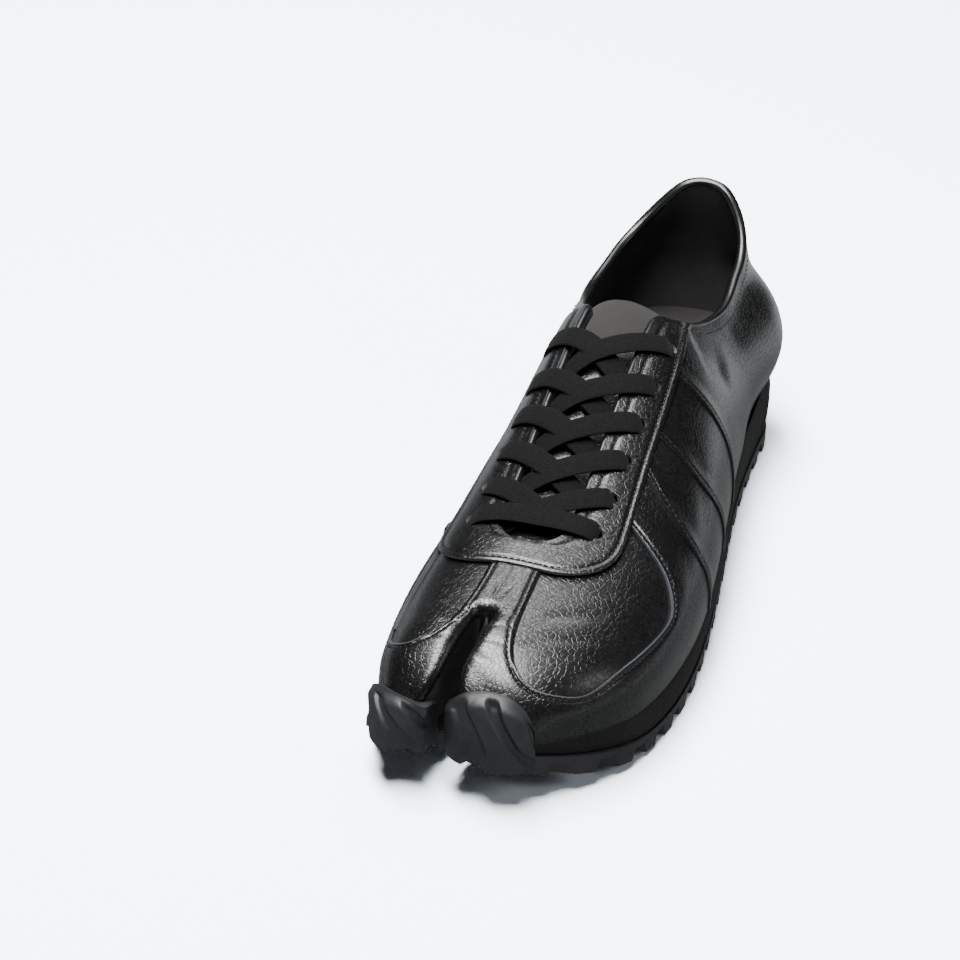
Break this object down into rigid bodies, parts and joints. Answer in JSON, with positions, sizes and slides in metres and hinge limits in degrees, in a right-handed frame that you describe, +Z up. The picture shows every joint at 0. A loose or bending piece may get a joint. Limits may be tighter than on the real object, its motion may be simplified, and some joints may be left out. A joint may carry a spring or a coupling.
{
  "type": "split-toe trainer",
  "caption": "Low split-toe leather trainer for the left foot: hollow upper with sewn panels, laced tongue, insole, foam midsole and a zigzag rubber outsole that curls up over both toes.",
  "frame": {"origin": "on the floor, under the centre of the bounding box", "axes": "+X to the outer side of the foot, -Y to the toe, +Z up"},
  "size_m": [0.0972, 0.2922, 0.0974],
  "materials": {
    "black_rubber": "satin",
    "black_foam": "matte",
    "black_leather": "satin",
    "taupe_lining": "matte",
    "black_cotton": "matte"
  },
  "bodies": {
    "root": {"outsole": "black_rubber", "midsole": "black_foam", "upper": "black_leather", "insole": "taupe_lining", "tongue": "taupe_lining", "eyestay": "black_leather", "toe_guard": "black_leather", "side_panel_front_medial": "black_leather", "side_panel_rear_medial": "black_leather", "side_panel_front_lateral": "black_leather", "side_panel_rear_lateral": "black_leather", "heel_quarter": "black_leather", "heel_tab": "black_leather", "laces": "black_cotton"}
  },
  "joints": []
}
